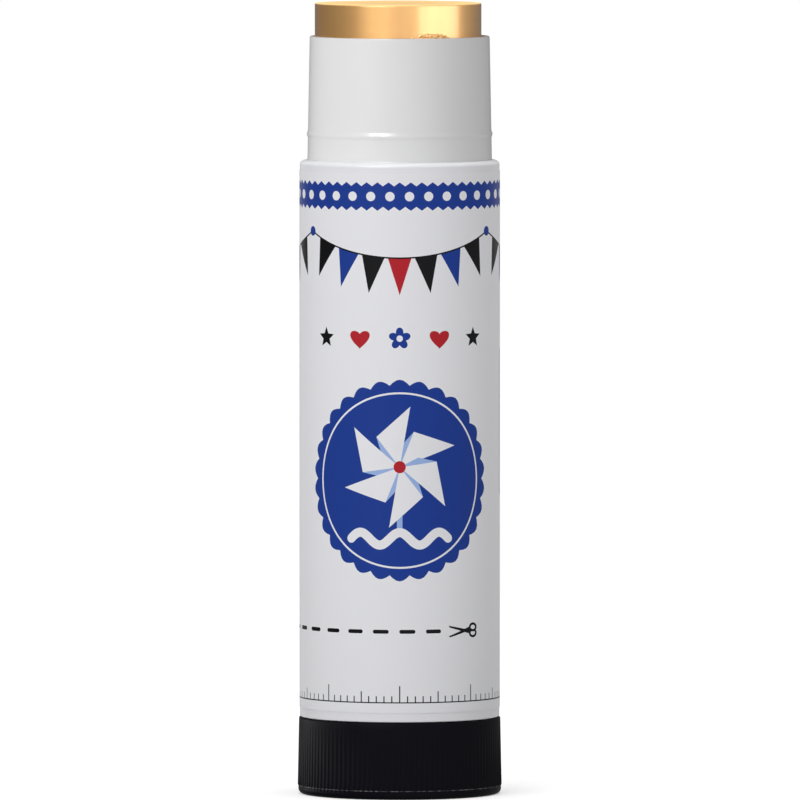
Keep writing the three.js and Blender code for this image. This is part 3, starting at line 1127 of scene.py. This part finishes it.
class GLUESTICK_OT_works(bpy.types.Operator):
    """Give the spindle and the carriage their plastic"""

    bl_idname = "glue_stick.works"
    bl_label = "Finish spindle and carriage"

    def execute(self, context):
        tint = context.scene.glue_stick_finish.works
        skin = moulded("inner_white", tint, {}, roughness=0.45, ripple_depth=0.01 * MM)
        for name in ("spindle", "carriage"):
            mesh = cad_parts[name].data
            mesh.materials.clear()
            mesh.materials.append(skin)
        return {"FINISHED"}


class GLUESTICK_OT_glue(bpy.types.Operator):
    """Make the amber glue, with what the rim of the neck scraped up as it came out"""

    bl_idname = "glue_stick.glue"
    bl_label = "Build glue"

    def execute(self, context):
        sizes = context.scene.glue_stick_glue
        guide = context.scene.glue_stick_guides
        low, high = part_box("glue")
        radius = reach("glue")
        lean = (low.x + high.x) / 2
        rim = top("inner_sleeve")
        cup_top = low.z + sizes.base_length
        cast_top = guide.top + sizes.wound_out + sizes.cast_gap
        groove = context.scene.glue_stick_barrel.bore_radius - guide.height - guide.clearance
        half = guide.width / 2 + guide.clearance
        edge = sizes.edge

        def grooved(turn):
            return groove if near_guide(turn, guide, half, radius) else radius

        def smeared(height):
            return lambda turn: radius + self.smear(sizes, turn, height - rim)

        base = min(sizes.base_radius, groove)
        rings = [
            (0, cast_top, 0), (sizes.hole_radius, cast_top, 0), (sizes.hole_radius, low.z, 0),
            (base, low.z, 0), (base, cup_top, 0),
            (grooved, cup_top, lean), (grooved, cast_top, lean), (radius, cast_top, lean),
        ]
        row, scraped_height = 0.05 * MM, 2.5 * sizes.smear_height
        scraped = [cast_top + row * i for i in range(1, int(scraped_height / row))]
        steps = 16
        plain = high.z - edge - scraped[-1]
        heights = scraped + [scraped[-1] + plain * i / steps for i in range(1, steps + 1)]
        rings += [(smeared(height), height, lean) for height in heights]
        rounding = arc(radius - edge, high.z - edge, edge, edge, 0, steps=5)[1:]
        rings += [(r, z, lean) for r, z in rounding]
        for share, sunk in ((0.8, sizes.dish / 3), (0.4, sizes.dish), (0, sizes.dish)):
            rings.append((share * radius, high.z - sunk, lean))
        mesh = loft("glue_core", [circle(r, z, sizes.columns, middle) for r, z, middle in rings])
        skin = amber("amber_glue", context.scene.glue_stick_finish, lean, radius, high.z, edge)
        settle(place("glue_core", mesh, [skin], crease=50), "lift", "amber_glue", "glue")
        return {"FINISHED"}

    def smear(self, sizes, turn, rise):
        """How far scraped-up glue stands out at an angle and a height above the rim."""
        from_front = (turn + QUARTER + math.pi) % TURN - math.pi
        across = (from_front - sizes.smear_middle) / sizes.smear_spread
        if abs(across) >= 1 or rise > 2 * sizes.smear_height:
            return 0
        tears_per_radian, lumps_per_radian, lumps_per_mm = 34, 60, 5
        tear_layer, lump_layer = 3, 8
        ragged = 0.8 + 0.45 * noise.noise(Vector((from_front * tears_per_radian, 0, tear_layer)))
        edge = sizes.smear_height * ragged * math.sqrt(1 - across * across)
        if rise > edge:
            return 0
        spot = Vector((from_front * lumps_per_radian, rise / MM * lumps_per_mm, lump_layer))
        lumpy = 0.55 + 0.9 * noise.noise(spot)
        fade = 0.12 * MM
        return sizes.smear_proud * max(0, lumpy) * min(1, (edge - rise) / fade)


class GLUESTICK_OT_studio(bpy.types.Operator):
    """Set up the floor, the lamps, the world and the camera"""

    bl_idname = "glue_stick.studio"
    bl_label = "Set up studio"

    def execute(self, context):
        studio = context.scene.glue_stick_studio
        context.scene.view_settings.view_transform = "Standard"
        self.build_floor(studio)
        self.light_world(context.scene, studio)
        for lamp in LAMPS:
            self.hang(lamp, studio.lamps)
        self.place_camera(context.scene, studio)
        return {"FINISHED"}

    def build_floor(self, studio):
        """A round pale floor, white for the camera but for the shadow. Gloss sees past it."""
        mesh = bpy.data.meshes.new("floor")
        sides = 96
        build = bmesh.new()
        bmesh.ops.create_circle(build, cap_ends=True, radius=studio.floor_radius, segments=sides)
        build.to_mesh(mesh)
        build.free()
        material = bpy.data.materials.new("pale_floor")
        graph = fresh_graph(material)
        pale, dim = [(grey, grey, grey) for grey in (studio.floor_grey, studio.card_grey)]
        paper = graph.add("ShaderNodeBsdfDiffuse", None, {"Color": (*pale, 1)})
        out = graph.vector("LENGTH", graph.spot(), output="Value")
        tint = graph.mix(graph.clamp(out / studio.card_radius), dim, pale)
        card = graph.add("ShaderNodeBsdfDiffuse", None, {"Color": tint})
        glow = graph.add("ShaderNodeEmission", None, {"Strength": studio.floor_lift})
        lifted = graph.add("ShaderNodeAddShader", None, {0: paper, 1: glow})
        both = graph.choose("Is Camera Ray", card, lifted)
        surface = graph.choose("Is Glossy Ray", both, graph.add("ShaderNodeBsdfTransparent"))
        graph.add("ShaderNodeOutputMaterial", None, {"Surface": surface})
        mesh.materials.append(material)
        floor = new_object("floor", mesh)

    def light_world(self, scene, studio):
        """White behind the stick, even light on it, and for gloss a room that is dim at the back."""
        world = bpy.data.worlds.new("studio")
        scene.world = world
        graph = fresh_graph(world)
        direction = graph.add("ShaderNodeTexCoord", output="Generated")
        brightest = (*polar(1, studio.gloss_side - QUARTER), 0)
        towards = graph.vector("DOT_PRODUCT", direction, brightest, output="Value")
        near = towards * 0.5 + 0.5
        mirrored = studio.gloss_dim + near * near * (studio.gloss_bright - studio.gloss_dim)
        white = (1, 1, 1, 1)
        soft, backdrop, room = [
            graph.add("ShaderNodeBackground", None, {"Color": white, "Strength": strength})
            for strength in (studio.ambient, 1.0, mirrored)
        ]
        both = graph.choose("Is Camera Ray", graph.choose("Is Glossy Ray", soft, room), backdrop)
        graph.add("ShaderNodeOutputWorld", None, {"Surface": both})

    def hang(self, lamp, strength):
        """Hangs a lamp where its angles say, aims it at the stick's middle and links its pieces."""
        light = bpy.data.lights.new(lamp.name, "AREA")
        light.shape = "RECTANGLE"
        light.size = lamp.width
        light.size_y = lamp.height
        light.energy = lamp.power * strength
        item = new_object(lamp.name, light)
        right, behind = polar(1, math.radians(lamp.azimuth) - QUARTER)
        level, up = polar(1, math.radians(lamp.elevation))
        away = Vector((right * level, behind * level, up))
        middle = Vector((0, 0, (cad_low.z + cad_high.z) / 2))
        item.location = middle + away * lamp.distance
        item.rotation_euler = (-away).to_track_quat("-Z", "Y").to_euler()
        item.visible_camera = False
        item.visible_diffuse = lamp.missed_by != "diffuse"
        item.visible_glossy = lamp.missed_by != "glossy"
        linked = bpy.data.collections.new("linked_to_" + lamp.name)
        for name in lamp.pieces:
            linked.objects.link(bpy.data.objects[name])
        for entry in linked.collection_objects:
            entry.light_linking.link_state = lamp.linking
        item.light_linking.receiver_collection = linked

    def place_camera(self, scene, studio):
        data = bpy.data.cameras.new("camera")
        camera = new_object("camera", data)
        target = Vector((studio.aim_side, 0, studio.aim_height))
        camera.location = (studio.aim_side, -studio.camera_distance, studio.camera_height)
        line = target - camera.location
        camera.rotation_euler = line.to_track_quat("-Z", "Y").to_euler()
        data.lens = data.sensor_width * line.length / studio.picture_height
        scene.camera = camera


class GLUESTICK_PT_builder(bpy.types.Panel):
    """Sizes, colours and buttons of the glue stick in the 3D view's sidebar"""

    bl_label = "Glue Stick"
    bl_idname = "GLUESTICK_PT_builder"
    bl_space_type = "VIEW_3D"
    bl_region_type = "UI"
    bl_category = "Glue Stick"

    def draw(self, context):
        for name, kind in SETTINGS.items():
            box = self.layout.box()
            box.label(text=kind.__doc__)
            for field in kind.__annotations__:
                box.prop(getattr(context.scene, name), field)
        for operator in OPERATORS:
            self.layout.operator(operator.bl_idname)


SETTINGS = {
    "glue_stick_barrel": BarrelSizes,
    "glue_stick_guides": GuideSizes,
    "glue_stick_label": LabelSizes,
    "glue_stick_knob": KnobSizes,
    "glue_stick_glue": GlueSizes,
    "glue_stick_finish": Finish,
    "glue_stick_studio": Studio,
}
OPERATORS = (
    GLUESTICK_OT_barrel,
    GLUESTICK_OT_label,
    GLUESTICK_OT_knob,
    GLUESTICK_OT_works,
    GLUESTICK_OT_glue,
    GLUESTICK_OT_studio,
)
CLASSES = (*SETTINGS.values(), *OPERATORS, GLUESTICK_PT_builder)


def register():
    for item in CLASSES:
        bpy.utils.register_class(item)
    for name, kind in SETTINGS.items():
        setattr(bpy.types.Scene, name, PointerProperty(type=kind))


def unregister():
    for name in SETTINGS:
        delattr(bpy.types.Scene, name)
    for item in reversed(CLASSES):
        bpy.utils.unregister_class(item)


def main():
    register()
    bpy.ops.glue_stick.barrel()
    bpy.ops.glue_stick.label()
    bpy.ops.glue_stick.knob()
    bpy.ops.glue_stick.works()
    bpy.ops.glue_stick.glue()
    bpy.ops.glue_stick.studio()


if __name__ == "__main__":
    main()
